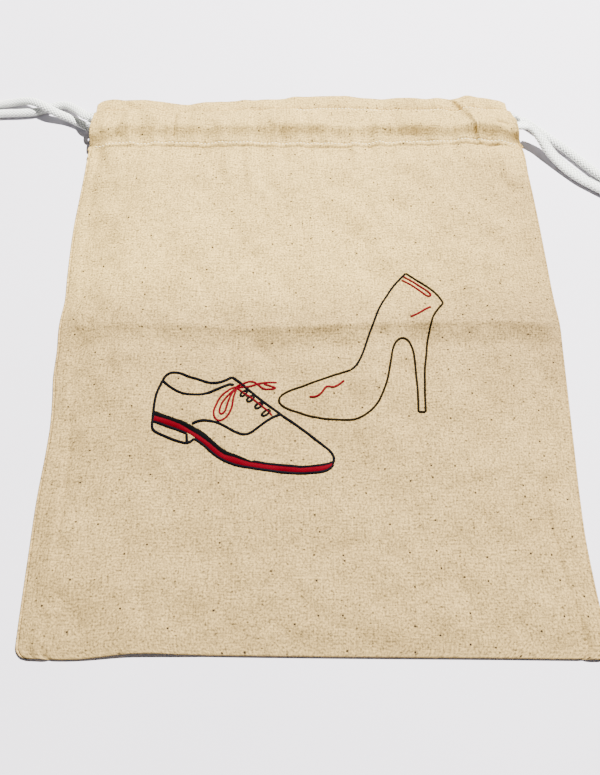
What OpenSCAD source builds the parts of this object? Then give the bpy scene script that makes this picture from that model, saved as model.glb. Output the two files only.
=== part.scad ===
// Drawstring shoe bag of unbleached cotton, lying flat with its mouth towards +Y.
// Two cloth panels joined by a folded bottom and sewn sides, a hemmed casing on each panel,
// two cords that run round through both casings in opposite directions, and embroidery on the front.
// Millimetres. The origin is under the middle of the bag, on the surface it lies on.

/* [Bag] */
// Width across the bag
bag_w = 300; // [280:2:320]
// Length from the folded bottom to the top of the casing
bag_h = 370; // [360:2:390]
// Thickness of one ply of cloth
cloth_t = 0.6; // [0.5:0.05:0.7]
// Height of the front panel above the surface, near the folded bottom
bottom_rise = 5.4; // [5.2:0.1:7]
// Width of the strip along each side where the front panel comes down to the back one
side_fall = 22; // [18:1:26]
// Length of the strip at the bottom where the front panel comes down to the back one
bottom_fall = 20; // [16:1:24]
// Radius of the two bottom corners
corner_r = 8; // [4:1:12]
// Width of the seam allowance inside each side
allowance_w = 12; // [8:1:14]

/* [Casing] */
// Depth of the hem that forms the casing, from the top edge to its sewn-down fold
hem_depth = 48; // [47:1:52]
// Distance of the lower stitch row from the top edge
low_row = 45; // [44:1:45]
// Distance of the upper stitch row from the top edge
high_row = 12.5; // [9:0.5:12.5]
// Height of the channel inside a casing
channel_h = 3.4; // [3.4:0.1:4]
// Free height between the two casings at the mouth
mouth_gap = 4.4; // [4.4:0.1:6]

/* [Cords] */
// Width of a cord lying loose
cord_w = 6.4; // [5:0.2:6.6]
// Thickness of a cord lying loose
cord_t = 4.4; // [3.8:0.2:4.4]
// Width of a cord pressed flat inside a casing
run_w = 7; // [6:0.2:7.2]
// Thickness of a cord pressed flat inside a casing
run_t = 3; // [2.6:0.1:3]
// Radius of the knot that joins a cord's two ends
knot_r = 9; // [7:0.5:9]
// Length of each cord's loose tip past its knot
tip_len = 16; // [10:1:24]

/* [Sewing] */
// Length of one sewing stitch
stitch_len = 1.9; // [1.6:0.1:2.1]
// Distance from one sewing stitch to the next
stitch_pitch = 2.4; // [2.4:0.1:4]
// Width of the sewing thread
thread_w = 0.6; // [0.4:0.1:0.8]

/* [Embroidery] */
// Width of an embroidered line
line_w = 1.1; // [0.8:0.1:1.4]
// Height of the embroidery above the cloth
line_rise = 0.35; // [0.2:0.05:0.6]
// Length of one embroidery stitch
line_stitch = 2.2; // [1.8:0.1:3]

/* [Hidden] */
$fn = 32;
skin = 0.01;                                  // a plate so thin that hull() takes it as an outline
proud = 0.2;                                  // how far a sewing stitch stands off the cloth
allowance_t = 1;                              // two pressed plies of seam allowance
allowance_gap = 8;                            // from the side seam to the seam allowance
allowance_ends = 9;                           // the seam allowance stops this far short of the fold
overlock_w = 3;                               // width of the overlock threads round the allowance's edge
side_row_gap = 1.4;                           // from the side edge to the side seam's stitches
row_half_w = 0.8;                             // half the width of the strip that a stitch row holds flat
dome_wall = 0.4;                              // how far the casing's outside stands out beside its inside
row_margin = 4;                               // a stitch row stops this far short of the sides
sunk = 0.2;                                   // how far the embroidery reaches into the cloth
stitch_fill = 0.93;                           // part of each step that its embroidery stitch takes up
top_y = bag_h / 2;
bottom_y = -bag_h / 2;
hem_y = top_y - hem_depth;
low_row_y = top_y - low_row;
high_row_y = top_y - high_row;
casing_h = channel_h + 2 * cloth_t;
front_z = casing_h + mouth_gap;               // underside of the front casing
hem_top_z = front_z + 2 * cloth_t;            // outside of the front casing where it is sewn flat
lane_gap = 1;                                 // between two cords in one casing
lane_slack = 0.3;                             // between a cord and the channel's end beside it
loop_reach = 3.4;                             // how far a cord's turn stands out of the side slit

// Each cord's lane in each casing, along Y
front_right_lane = top_y - 32;
front_left_lane = front_right_lane + run_w + lane_gap;
back_left_lane = front_right_lane + 6;
back_right_lane = back_left_lane + run_w + lane_gap;
back_lane_z = cloth_t + channel_h / 2;
front_lane_z = front_z + back_lane_z;
dome_low_y = front_right_lane - run_w / 2 - lane_slack;
dome_high_y = back_right_lane + run_w / 2 + lane_slack;

// Free strands, from the end of their lane to the knot: points that a smooth curve passes through
left_x = -bag_w / 2;
right_x = bag_w / 2;
rest_z = cord_t / 2;
loosening = 6;                                // rings over which a strand grows from flat to round
left_front_route = [
    [left_x, front_left_lane, front_lane_z], [-155, 163.5, 10], [-161, 170, 7.4], [-167, 176, 5],
    [-173, 180, 3.2], [-180, 180, 2.4], [-187, 177, rest_z], [-195, 174.5, rest_z], [-205, 173.5, rest_z],
    [-217, 173, rest_z], [-230, 171, rest_z], [-243, 168, rest_z], [-256, 165.5, rest_z], [-269, 164, 2.6]
];
left_back_route = [
    [left_x, back_left_lane, back_lane_z], [-155, 160.5, 2.3], [-162, 164.5, 2.4], [-170, 168.5, 3],
    [-177, 171, 4.6], [-183, 173.5, 6.4], [-189, 176.8, 6.9], [-195, 180, 6.2], [-202, 182.5, 4.4],
    [-210, 183, 2.8], [-219, 182, rest_z], [-231, 179.5, rest_z], [-244, 176.5, rest_z],
    [-257, 173.5, rest_z], [-269, 171.5, 2.6]
];
right_front_route = [
    [right_x, front_right_lane, front_lane_z], [154, 150.5, 10.2], [159, 145, 7.6], [164, 137.5, 4.8],
    [170, 129.5, 3], [176, 122.5, rest_z], [183, 115.5, rest_z], [191, 109.5, rest_z], [200, 103, rest_z],
    [210, 96, rest_z], [221, 90, rest_z], [232, 84, rest_z], [243, 79, rest_z], [249, 77, 2.6]
];
right_back_route = [
    [right_x, back_right_lane, back_lane_z], [155, 163, rest_z], [161, 157, rest_z], [168, 149.5, rest_z],
    [176, 141.5, rest_z], [184, 132, rest_z], [192, 122.5, rest_z], [200, 114, rest_z], [209, 107, rest_z],
    [219, 100.5, rest_z], [230, 94.5, rest_z], [241, 89.5, rest_z], [249, 86, 2.6]
];
left_knot = [-276, 168, knot_r];
right_knot = [256, 81, knot_r];

// Embroidered lines, on the front panel: points that a smooth curve passes through
shoe_collar_back = [[-46, -34], [-54, -38], [-62, -37], [-77, -31], [-83, -32], [-86, -36]];
shoe_collar_front = [[-86, -36], [-80, -41], [-73, -44.5], [-66, -45], [-52, -41], [-45, -38]];
shoe_back = [[-86, -36], [-88.5, -44], [-89, -58]];
shoe_vamp = [[-46, -34], [-37, -42], [-18, -57], [-2, -69], [9, -78], [12, -82], [11, -85]];
shoe_quarter = [
    [-67, -64], [-63, -61.5], [-57, -61], [-49, -64], [-42, -68.5], [-35, -69], [-29, -64], [-18, -57]
];
shoe_heel = [[-89, -58], [-89.5, -64], [-83, -69], [-69, -74.5], [-66, -72]];
sole_top = [
    [-89, -58], [-79, -61], [-70, -65], [-62, -69.5], [-51, -79], [-42, -83], [-22, -87], [-8, -87.5], [11, -85]
];
sole_bottom = [
    [-89, -61], [-79, -64], [-70, -68], [-62, -74], [-52, -82], [-42, -87], [-24, -90], [0, -90.5], [11, -86]
];
welt_top = [[-89, -55.5], [-79, -58], [-69, -62.5], [-61, -67.5], [-50, -76.5], [-43, -80.5], [-34, -84]];
welt_bottom = [[-89, -57.8], [-79, -60.8], [-70, -64.8], [-62, -69.3], [-51, -78.8], [-43, -82.5], [-34, -84.8]];
lace_bow = [
    [-43, -40], [-51, -47], [-55, -54], [-55, -58.5], [-52.5, -60.5], [-49, -58.5], [-46, -52], [-45, -45],
    [-43, -40]
];
lace_tail = [[-43, -40], [-36, -37.5], [-29, -38.5], [-20, -37]];
lace_short_tail = [[-42, -41], [-32, -39.5], [-26, -40.5], [-20.5, -41]];
lace_row = [[-43, -41], [-32, -49], [-22, -57.5]];
eyelet_spots = [[-39, -45], [-34.5, -48.5], [-30, -52.5], [-25.5, -56.5]];
pump_throat = [[59, 36], [51, 27.5], [44, 16], [37, 0], [31, -16], [27, -25], [23, -30]];
pump_toe = [
    [23, -30], [14, -32.5], [-4, -39.5], [-14, -43], [-19, -48], [-12, -54], [2, -58], [20, -60], [28, -58.5],
    [36, -52], [42, -41], [46, -25], [48.5, -14.5], [54, -8.5], [58.5, -12], [60, -22], [60.5, -40], [60, -55.5]
];
pump_heel = [[60, -55.5], [64.2, -55.5], [64.8, -42], [67, -20], [70, -5], [73, 5], [80, 14.5]];
pump_collar = [[80, 14.5], [77, 20], [70, 27.5], [59, 36]];
trim_band = [[56, 31], [66, 24.5], [71, 19], [73, 19.8], [69, 25], [57.5, 33.5]];
trim_back = [[59, 4], [65, 6.5], [72, 11.5]];
trim_vamp = [[-2, -46], [3, -46], [8, -40.5], [12, -40.5], [19, -36.5]];

// ---- Curves ----

// A point on the smooth curve between p1 and p2, with the neighbours p0 and p3
function curve_point(p0, p1, p2, p3, t) =
    0.5 * (2 * p1 + (p2 - p0) * t + (2 * p0 - 5 * p1 + 4 * p2 - p3) * t * t
        + (3 * p1 - p0 - 3 * p2 + p3) * t * t * t);

// The smooth curve through pts, with steps points to each stretch
function curve(pts, steps) = [
    for (i = [0 : len(pts) - 2], k = [0 : steps - 1])
        curve_point(pts[max(i - 1, 0)], pts[i], pts[i + 1], pts[min(i + 2, len(pts) - 1)], k / steps),
    pts[len(pts) - 1]
];

// Height of the outside of the front panel at y
function panel_z(y) =
    bottom_rise + (hem_top_z - bottom_rise) * (y - bottom_y - bottom_fall) / (hem_y - bottom_y - bottom_fall);

function unit(v) = v / norm(v);
function direction(path, i) = unit(path[min(i + 1, len(path) - 1)] - path[max(i - 1, 0)]);
function sideways(d) = unit(cross([0, 0, 1], d));

// One ring of a cord, across the path at its point i. Its width lies level, or along across if that is given.
function cord_ring(path, i, half_w, half_t, sides, across) =
    let (d = direction(path, i), s = is_undef(across) ? sideways(d) : across, u = cross(d, s))
    [for (k = [0 : sides - 1])
        path[i] + s * half_w * cos(360 * k / sides) + u * half_t * sin(360 * k / sides)];

// A closed tube that follows path. Its section is an ellipse, with a half width and half thickness at each point.
module cord_tube(path, half_w, half_t, across = undef) {
    sides = 8;
    rings = [for (i = [0 : len(path) - 1]) each cord_ring(path, i, half_w[i], half_t[i], sides, across)];
    last = len(path) - 1;
    walls = [
        for (i = [0 : last - 1], k = [0 : sides - 1]) let (n = (k + 1) % sides)
            [i * sides + k, (i + 1) * sides + k, (i + 1) * sides + n, i * sides + n]
    ];
    ends = [[for (k = [0 : sides - 1]) k], [for (k = [sides - 1 : -1 : 0]) last * sides + k]];
    polyhedron(rings, concat(walls, ends));
}

// ---- Cloth ----

// The back panel's outline, with its two rounded bottom corners
module panel_outline() {
    straight_y = bottom_y + corner_r;
    translate([-bag_w / 2, straight_y]) square([bag_w, hem_y - straight_y]);
    translate([-bag_w / 2 + corner_r, bottom_y]) square([bag_w - 2 * corner_r, corner_r]);
    for (side = [-1, 1])
        translate([side * (bag_w / 2 - corner_r), straight_y]) circle(r = corner_r);
}

// A solid as high as the outside of the front panel, lowered by drop and carried past the casing by over
module panel_crown(drop, over) {
    straight_y = bottom_y + corner_r;
    low_half_w = bag_w / 2 - side_fall;
    high_half_w = bag_w / 2 - side_fall / 2;
    translate([0, 0, -drop]) hull() {
        translate([-bag_w / 2, straight_y, cloth_t]) cube([bag_w, hem_y + over - straight_y, skin]);
        for (side = [-1, 1])
            translate([side * (bag_w / 2 - corner_r), straight_y, cloth_t]) cylinder(r = corner_r, h = skin);
        translate([-low_half_w, bottom_y + bottom_fall, bottom_rise - skin]) cube([2 * low_half_w, skin, skin]);
        translate([-high_half_w, hem_y + over - skin, hem_top_z - skin]) cube([2 * high_half_w, skin, skin]);
    }
}

module back_panel() {
    color("#e4d5b8") linear_extrude(cloth_t) panel_outline();
}

module front_panel() {
    color("#e6d8bb") difference() {
        panel_crown(0, 0);
        panel_crown(cloth_t, 1);
    }
}

// The section of a casing across Y and Z: a folded hem, sewn flat along two rows, raised over the cords
module casing_section() {
    flat_z = 2 * cloth_t;
    fold_r = cloth_t;
    difference() {
        union() {
            polygon([
                [hem_y, 0], [top_y - fold_r, 0], [top_y - fold_r, flat_z], [high_row_y - row_half_w, flat_z],
                [dome_high_y + dome_wall, casing_h], [dome_low_y - dome_wall, casing_h],
                [low_row_y + row_half_w, flat_z], [hem_y, flat_z]
            ]);
            translate([top_y - fold_r, fold_r]) circle(r = fold_r);
        }
        polygon([
            [low_row_y + row_half_w + cloth_t, cloth_t], [high_row_y - row_half_w - cloth_t, cloth_t],
            [dome_high_y, casing_h - cloth_t], [dome_low_y, casing_h - cloth_t]
        ]);
    }
}

module casing(z) {
    translate([-bag_w / 2, 0, z]) rotate([90, 0, 90]) linear_extrude(bag_w) casing_section();
}

module back_casing() {
    color("#e0d0b0") casing(0);
}

module front_casing() {
    color("#e8dabd") casing(front_z);
}

// The turned-in edges of both panels, lying inside the bag beside a side seam
module seam_allowance(side) {
    outer_x = bag_w / 2 - allowance_gap;
    length = hem_y - bottom_y - allowance_ends;
    translate([side * (outer_x - allowance_w / 2), hem_y - length / 2, cloth_t + allowance_t / 2])
        cube([allowance_w, length, allowance_t], center = true);
}

module left_seam_allowance() {
    color("#d9c8a6") seam_allowance(-1);
}

module right_seam_allowance() {
    color("#d9c8a6") seam_allowance(1);
}

// ---- Sewing ----

// A row of count stitches along X, centred on x = 0
module stitch_row(y, z, height) {
    count = floor((bag_w - 2 * row_margin) / stitch_pitch);
    for (i = [0 : count - 1])
        translate([(i - (count - 1) / 2) * stitch_pitch, y, z + height / 2])
            cube([stitch_len, thread_w, height], center = true);
}

// The lockstitches that join both panels along one side
module seam_stitching(side) {
    count = floor((hem_y - bottom_y - 2 * corner_r) / stitch_pitch);
    for (i = [0 : count - 1])
        translate([side * (bag_w / 2 - side_row_gap), bottom_y + corner_r + (i + 0.5) * stitch_pitch, cloth_t])
            cube([thread_w, stitch_len, cloth_t], center = true);
}

// The overlock threads that wrap the free edge of a seam allowance
module overlock(side) {
    edge_x = bag_w / 2 - allowance_gap - allowance_w;
    count = floor((hem_y - bottom_y - allowance_ends) / stitch_pitch);
    for (i = [0 : count - 1])
        translate([side * (edge_x + overlock_w / 2 - proud), hem_y - (i + 0.5) * stitch_pitch,
                cloth_t + (allowance_t + proud) / 2])
            cube([overlock_w, thread_w, allowance_t + proud], center = true);
}

module left_seam_stitching() {
    color("#f1e9d2") seam_stitching(-1);
}

module right_seam_stitching() {
    color("#f1e9d2") seam_stitching(1);
}

module left_overlock() {
    color("#efe8d6") overlock(-1);
}

module right_overlock() {
    color("#efe8d6") overlock(1);
}

module back_hem_stitching() {
    color("#f1e9d2") stitch_row(low_row_y, 0, 2 * cloth_t + proud);
}

module back_header_stitching() {
    color("#f1e9d2") stitch_row(high_row_y, 0, 2 * cloth_t + proud);
}

module front_hem_stitching() {
    color("#f1e9d2") stitch_row(low_row_y, front_z - proud, 2 * (cloth_t + proud));
}

module front_header_stitching() {
    color("#f1e9d2") stitch_row(high_row_y, front_z - proud, 2 * (cloth_t + proud));
}

// ---- Cords ----

// A cord pressed flat inside a casing, along its whole width
module cord_run(y, z) {
    translate([-bag_w / 2, y, z]) rotate([90, 0, 90]) linear_extrude(bag_w) {
        square([run_w - run_t, run_t], center = true);
        for (side = [-1, 1]) translate([side * (run_w - run_t) / 2, 0]) circle(d = run_t);
    }
}

// The turn that takes a cord from one casing to the other at a side slit
module cord_loop(side, front_y, back_y) {
    front = [side * bag_w / 2, front_y, front_lane_z];
    back = [side * bag_w / 2, back_y, back_lane_z];
    middle = (front + back) / 2;
    arm = (front - back) / 2;
    bend = [side * loop_reach, 0, 0];
    path = [for (a = [0 : 15 : 180]) middle + arm * cos(a) + bend * sin(a)];
    half = [for (point = path) run_t / 2];
    cord_tube(path, half, half, unit(cross(arm, bend)));
}

// A free strand: pressed flat where it leaves the casing, and round again within its first stretches
module cord_strand(route) {
    path = curve(route, 2);
    loose = [for (i = [0 : len(path) - 1]) min(i / loosening, 1)];
    half_w = [for (k = loose) (run_w + (cord_w - run_w) * k) / 2];
    half_t = [for (k = loose) (run_t + (cord_t - run_t) * k) / 2];
    cord_tube(path, half_w, half_t);
}

// An overhand knot in both ends together, and the two tips that stand out of it
module cord_knot(at, turn) {
    spread = 14;
    translate(at) rotate([0, 0, turn]) {
        sphere(r = knot_r);
        for (side = [-1, 1])
            translate([0, side * cord_w / 2, cord_t / 2 - knot_r]) rotate([0, 90, side * spread])
                cylinder(d = cord_t, h = knot_r + tip_len);
    }
}

module left_cord_front_run() {
    color("#f2f2ee") cord_run(front_left_lane, front_lane_z);
}

module left_cord_back_run() {
    color("#f2f2ee") cord_run(back_left_lane, back_lane_z);
}

module left_cord_loop() {
    color("#f2f2ee") cord_loop(1, front_left_lane, back_left_lane);
}

module left_cord_front_strand() {
    color("#f2f2ee") cord_strand(left_front_route);
}

module left_cord_back_strand() {
    color("#f2f2ee") cord_strand(left_back_route);
}

module left_cord_knot() {
    color("#ecece6") cord_knot(left_knot, 180);
}

module right_cord_front_run() {
    color("#f2f2ee") cord_run(front_right_lane, front_lane_z);
}

module right_cord_back_run() {
    color("#f2f2ee") cord_run(back_right_lane, back_lane_z);
}

module right_cord_loop() {
    color("#f2f2ee") cord_loop(-1, front_right_lane, back_right_lane);
}

module right_cord_front_strand() {
    color("#f2f2ee") cord_strand(right_front_route);
}

module right_cord_back_strand() {
    color("#f2f2ee") cord_strand(right_back_route);
}

module right_cord_knot() {
    color("#ecece6") cord_knot(right_knot, -24);
}

// ---- Embroidery ----

// A chain of short stitches along the smooth curve through pts
module stitched_line(pts, width = line_w) {
    path = curve(pts, 12);
    reach = [for (i = 0, total = 0; i < len(path);
        total = total + (i + 1 < len(path) ? norm(path[i + 1] - path[i]) : 0), i = i + 1) total];
    count = max(1, round(reach[len(reach) - 1] / line_stitch));
    step = reach[len(reach) - 1] / count;
    for (n = [0 : count - 1]) {
        at = n * step;
        a = lookup_point(path, reach, at);
        b = lookup_point(path, reach, at + step);
        middle = (a + b) / 2;
        turn = atan2(b[1] - a[1], b[0] - a[0]);
        translate([middle[0], middle[1], panel_z(middle[1]) + (line_rise - sunk) / 2])
            rotate([0, 0, turn])
                cube([norm(b - a) * stitch_fill, width, line_rise + sunk], center = true);
    }
}

// The point of path that lies the distance at along it
function lookup_point(path, reach, at) = [
    lookup(at, [for (i = [0 : len(path) - 1]) [reach[i], path[i][0]]]),
    lookup(at, [for (i = [0 : len(path) - 1]) [reach[i], path[i][1]]])
];

// Satin stitches that fill the band between two curves, each a bar across the band
module satin_band(upper, lower) {
    a = curve(upper, 9);
    b = curve(lower, 9);
    for (i = [0 : min(len(a), len(b)) - 2]) {
        middle = (a[i] + b[i]) / 2;
        turn = atan2(a[i][1] - b[i][1], a[i][0] - b[i][0]);
        across = max(norm(a[i] - b[i]), thread_w);
        along = norm(a[i + 1] - a[i]) * stitch_fill;
        translate([middle[0], middle[1], panel_z(middle[1]) + (line_rise - sunk) / 2])
            rotate([0, 0, turn]) cube([across, along, line_rise + sunk], center = true);
    }
}

module shoe_outline() {
    color("#1b1d33") {
        for (pts = [shoe_collar_back, shoe_collar_front, shoe_back, shoe_vamp, shoe_quarter, shoe_heel])
            stitched_line(pts);
    }
}

module shoe_welt() {
    color("#15151c") satin_band(welt_top, welt_bottom);
}

module shoe_sole() {
    color("#c8162a") satin_band(sole_top, sole_bottom);
}

module shoe_laces() {
    color("#c2182c") for (pts = [lace_bow, lace_tail, lace_short_tail, lace_row]) stitched_line(pts, 0.9);
}

// Four loops of black thread where the lace goes through
module shoe_eyelets() {
    loop_r = 2;
    color("#15151c") for (spot = eyelet_spots)
        translate([spot[0], spot[1], panel_z(spot[1]) - sunk]) difference() {
            cylinder(r = loop_r, h = 2 * line_rise + sunk);
            translate([0, 0, -1]) cylinder(r = loop_r - thread_w, h = 2 * line_rise + sunk + 2);
        }
}

module pump_throat_line() {
    color("#1b1d1f") stitched_line(pump_throat);
}

module pump_outline() {
    color("#6a5a34") for (pts = [pump_toe, pump_heel, pump_collar]) stitched_line(pts, 0.9);
}

module pump_trim() {
    color("#b52438") for (pts = [trim_band, trim_back, trim_vamp]) stitched_line(pts, 0.9);
}

back_panel();
front_panel();
back_casing();
front_casing();
left_seam_allowance();
right_seam_allowance();
left_seam_stitching();
right_seam_stitching();
left_overlock();
right_overlock();
back_hem_stitching();
back_header_stitching();
front_hem_stitching();
front_header_stitching();
left_cord_front_run();
left_cord_back_run();
left_cord_loop();
left_cord_front_strand();
left_cord_back_strand();
left_cord_knot();
right_cord_front_run();
right_cord_back_run();
right_cord_loop();
right_cord_front_strand();
right_cord_back_strand();
right_cord_knot();
shoe_outline();
shoe_welt();
shoe_sole();
shoe_laces();
shoe_eyelets();
pump_throat_line();
pump_outline();
pump_trim();
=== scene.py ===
import math

import bpy
import numpy as np
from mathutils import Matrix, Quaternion, Vector


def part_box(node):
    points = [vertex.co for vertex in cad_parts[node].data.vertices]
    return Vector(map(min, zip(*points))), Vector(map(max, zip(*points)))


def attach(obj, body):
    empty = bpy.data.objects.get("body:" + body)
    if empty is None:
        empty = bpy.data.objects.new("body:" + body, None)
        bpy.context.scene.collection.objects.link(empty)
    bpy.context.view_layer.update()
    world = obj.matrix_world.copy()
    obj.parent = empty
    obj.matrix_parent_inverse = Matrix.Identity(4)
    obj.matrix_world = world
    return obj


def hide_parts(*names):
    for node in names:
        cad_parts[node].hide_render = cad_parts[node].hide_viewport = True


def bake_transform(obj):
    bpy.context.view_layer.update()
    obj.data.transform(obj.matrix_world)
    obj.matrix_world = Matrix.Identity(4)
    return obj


# Looks of a drawstring shoe bag of unbleached cotton, lying flat with its mouth towards +Y.
# Points are worked out in millimetres, and make_piece() turns them into metres.
# A place on the cloth is given by side (-1 left, 1 right), s (distance in from that side's edge) and
# v (place along the bag from its folded bottom, before the edges' small waves shift it).

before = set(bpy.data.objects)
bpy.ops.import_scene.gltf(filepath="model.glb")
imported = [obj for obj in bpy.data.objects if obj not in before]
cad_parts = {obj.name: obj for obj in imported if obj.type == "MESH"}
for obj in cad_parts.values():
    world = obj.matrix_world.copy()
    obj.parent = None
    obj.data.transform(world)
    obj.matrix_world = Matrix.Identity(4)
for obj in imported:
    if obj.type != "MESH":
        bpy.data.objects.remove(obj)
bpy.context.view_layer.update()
MM = 0.001


def node_box(name):
    """A CAD node's lowest and highest corner, in millimetres."""
    low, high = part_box(name)
    return np.array(low) / MM, np.array(high) / MM


def node_middle(name, axis):
    """Where the middle of a CAD node's box is along one axis, in millimetres."""
    low, high = node_box(name)
    return float((low[axis] + high[axis]) / 2)


front_low, front_high = node_box("front_panel")
casing_low, casing_high = node_box("front_casing")
HALF_W = front_high[0]
BOTTOM_Y = front_low[1]
HEM_Y = front_high[1]
TOP_Y = casing_high[1]
FRONT_Z = casing_low[2]                                    # underside of the front casing
DOME = casing_high[2] - front_high[2]                      # how far the cords raise a casing
LOW_ROW_Y = node_middle("front_hem_stitching", 1)
HIGH_ROW_Y = node_middle("front_header_stitching", 1)
FRONT_RIGHT_LANE = node_middle("right_cord_front_run", 1)
FRONT_LEFT_LANE = node_middle("left_cord_front_run", 1)
BACK_LEFT_LANE = node_middle("left_cord_back_run", 1)
BACK_RIGHT_LANE = node_middle("right_cord_back_run", 1)
FRONT_LANE_Z = node_middle("right_cord_front_run", 2)
BACK_LANE_Z = node_middle("right_cord_back_run", 2)
FRONT_LANES = (FRONT_RIGHT_LANE, FRONT_LEFT_LANE)
BACK_LANES = (BACK_LEFT_LANE, BACK_RIGHT_LANE)

PLY = 0.4                   # thickness of the cloth
HEM_T = 3 * PLY             # outer ply, inner ply and the turned-in edge between them
GROUND = 0.25               # underside of the back panel
ROLL = 0.8                  # radius with which each ply turns into the side seam or the bottom fold
TURN_IN = 6.0               # width of the hem's turned-in edge
LOW_END_H = 5.2             # height of the front panel near the bottom fold
SLIT_Y = LOW_ROW_Y + 9      # the sides are fully open above this
CORNER_R = 6.0
LOOP_TUCK = 0.5             # how far inside the slit a cord starts to turn back
SEAM_GROOVE = 1.5           # distance from the edge to the groove along the side seam
STITCH_PITCH = 2.4
WEAVE_PITCH = 0.00052       # in metres, as the materials measure it

CORD_HALF_W = 3.2
CORD_HALF_T = 2.2
RUN_HALF_W = 3.5
RUN_HALF_T = 1.5
REST_Z = CORD_HALF_T
BRAID_STRANDS = 8           # yarns that wind each way round a cord
BRAID_LAY = 2.6             # distance along a cord from one yarn to the next

# Free strands, from the end of their lane to the knot
LEFT_FRONT_ROUTE = [
    (-HALF_W, FRONT_LEFT_LANE, FRONT_LANE_Z), (-155, 163.5, 10), (-161, 170, 7.4), (-167, 176, 5),
    (-173, 180, 3.2), (-180, 180, 2.4), (-187, 177, REST_Z), (-195, 174.5, REST_Z), (-205, 173.5, REST_Z),
    (-217, 173, REST_Z), (-230, 171, REST_Z), (-243, 168, REST_Z), (-256, 165.5, REST_Z), (-269, 164, 2.6),
]
LEFT_BACK_ROUTE = [
    (-HALF_W, BACK_LEFT_LANE, BACK_LANE_Z), (-155, 160.5, 2.3), (-162, 164.5, 2.4), (-170, 168.5, 3),
    (-177, 171, 4.6), (-183, 173.5, 6.4), (-189, 176.8, 6.9), (-195, 180, 6.2), (-202, 182.5, 4.4),
    (-210, 183, 2.8), (-219, 182, REST_Z), (-231, 179.5, REST_Z), (-244, 176.5, REST_Z),
    (-257, 173.5, REST_Z), (-269, 171.5, 2.6),
]
RIGHT_FRONT_ROUTE = [
    (HALF_W, FRONT_RIGHT_LANE, FRONT_LANE_Z), (154, 150.5, 10.2), (159, 145, 7.6), (164, 137.5, 4.8),
    (170, 129.5, 3), (176, 122.5, REST_Z), (183, 115.5, REST_Z), (191, 109.5, REST_Z), (200, 103, REST_Z),
    (210, 96, REST_Z), (221, 90, REST_Z), (232, 84, REST_Z), (243, 79, REST_Z), (249, 77, 2.6),
]
RIGHT_BACK_ROUTE = [
    (HALF_W, BACK_RIGHT_LANE, BACK_LANE_Z), (155, 163, REST_Z), (161, 157, REST_Z), (168, 149.5, REST_Z),
    (176, 141.5, REST_Z), (184, 132, REST_Z), (192, 122.5, REST_Z), (200, 114, REST_Z), (209, 107, REST_Z),
    (219, 100.5, REST_Z), (230, 94.5, REST_Z), (241, 89.5, REST_Z), (249, 86, 2.6),
]
LEFT_KNOT = (-276, 168, 7.4)
RIGHT_KNOT = (256, 81, 7.4)

CAMERA_ROLL = 0.39          # degrees

# The bag's outline as it lies: half width against v on each side, and where its ends lie against x
LEFT_OUTLINE = [
    (-185, 149.4), (-168, 149.8), (-131, 150.2), (-104, 150.4), (-76, 149.4), (-61, 149.3), (-46, 150.3),
    (-30, 152), (-13, 152.3), (4, 153.4), (21, 152.3), (39, 153.2), (77, 153.8), (96, 152.6), (116, 151.4),
    (137, 150.6), (147, 149.6), (160, 149), (168, 148), (185, 147.4),
]
RIGHT_OUTLINE = [
    (-185, 148.6), (-172, 147.6), (-158, 146.5), (-144, 145.8), (-125, 145.3), (-105, 145.9), (-76, 147.5),
    (-46, 149.2), (-14, 151), (3, 151.9), (21, 151), (58, 150.4), (77, 149.8), (98, 148.6), (116, 147.3),
    (137, 146), (145, 143.6), (151, 142.4), (161, 141.2), (167, 139), (176, 137.2), (185, 136.6),
]
BOTTOM_EDGE = [
    (-150, -183.8), (-118, -184.6), (-90, -182), (-60, -182.7), (0, -183.6), (80, -184.4), (150, -185.3),
]
LOW_ROW = [(-150, 138.6), (-90, 139), (45, 139), (79, 140.8), (113, 141.7), (150, 141)]
TOP_EDGE = [
    (-150, 171.5), (-148, 173), (-145, 175.7), (-138, 177.5), (-122, 177.2), (-105, 177), (-87, 174.2),
    (-70, 174.8), (-52, 177.6), (-41, 177), (-20, 179), (0, 181), (14, 182.6), (27, 182), (43, 180),
    (60, 179), (82, 177.8), (97, 177.8), (103, 177), (109, 179), (120, 178.8), (129, 177), (134, 175.2),
    (138, 173.3), (150, 169),
]


# ---- Numbers and curves ----

def unit(vectors):
    return vectors / np.maximum(np.linalg.norm(vectors, axis=-1, keepdims=True), 1e-12)


def smoothstep(x):
    x = np.clip(x, 0, 1)
    return x * x * (3 - 2 * x)


def hill(x):
    """A smooth bump: 1 at 0, and 0 from -1 and 1 outward."""
    return smoothstep(1 - np.abs(x))


def through(points, at):
    """The smooth curve through points (x, y), read at the places at."""
    x, y = np.array(points, float).T
    slopes = np.gradient(y, x)
    i = np.clip(np.searchsorted(x, at) - 1, 0, len(x) - 2)
    step = x[i + 1] - x[i]
    t = np.clip((at - x[i]) / step, 0, 1)
    return ((1 + 2 * t) * (1 - t) ** 2 * y[i] + t * (1 - t) ** 2 * step * slopes[i]
            + t * t * (3 - 2 * t) * y[i + 1] + t * t * (t - 1) * step * slopes[i + 1])


def ripples(seed, length, count=16, stretch=(1, 1)):
    """A smooth random field over x and y, of about unit size, from waves of about that length."""
    draw = np.random.default_rng(seed)
    way = draw.uniform(0, 2 * math.pi, count)
    number = 2 * math.pi / (length * draw.uniform(0.7, 1.5, count))
    phase = draw.uniform(0, 2 * math.pi, count)

    def field(x, y):
        total = 0
        for k in range(count):
            along = x / stretch[0] * math.cos(way[k]) + y / stretch[1] * math.sin(way[k])
            total = total + np.sin(number[k] * along + phase[k])
        return total / math.sqrt(count / 2)

    return field


def arc_length(path):
    return np.concatenate([[0], np.cumsum(np.linalg.norm(np.diff(path, axis=0), axis=1))])


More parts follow.
